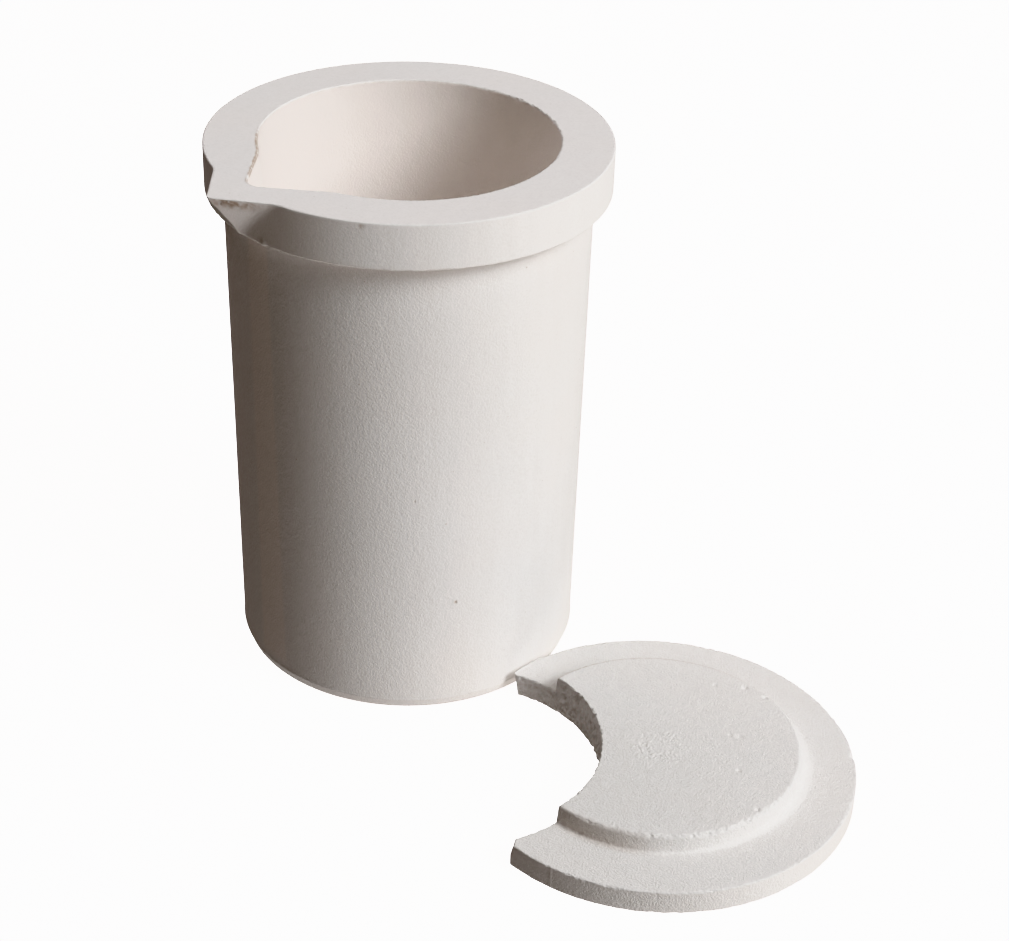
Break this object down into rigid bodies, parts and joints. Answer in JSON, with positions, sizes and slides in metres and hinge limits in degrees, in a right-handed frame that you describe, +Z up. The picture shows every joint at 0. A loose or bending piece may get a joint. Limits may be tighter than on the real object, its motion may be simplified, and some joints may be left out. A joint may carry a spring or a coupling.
{
  "type": "casting crucible with cover",
  "caption": "Straight-walled ceramic crucible with a collar and a pointed pouring beak, and a crescent cover lying upside down beside it.",
  "frame": {"origin": "centre of the face the pot stands on, on the pot's axis", "axes": "+Z up along the pot's axis; the pouring beak points along -X; the cover lies in front of the pot, on its -Y side"},
  "size_m": [0.1171, 0.2029, 0.146],
  "materials": {
    "crucible": "matte, unglazed, fine sandy grain",
    "lid": "matte, unglazed, fine sandy grain"
  },
  "bodies": {
    "pot": {"crucible": "crucible"},
    "cover": {"lid": "lid"}
  },
  "joints": [
    {"name": "lid_lift", "type": "slide", "parent": "pot", "child": "cover", "axis": [0.0072, -0.1735, 0.9848], "range_m": [0, 0.18]}
  ]
}
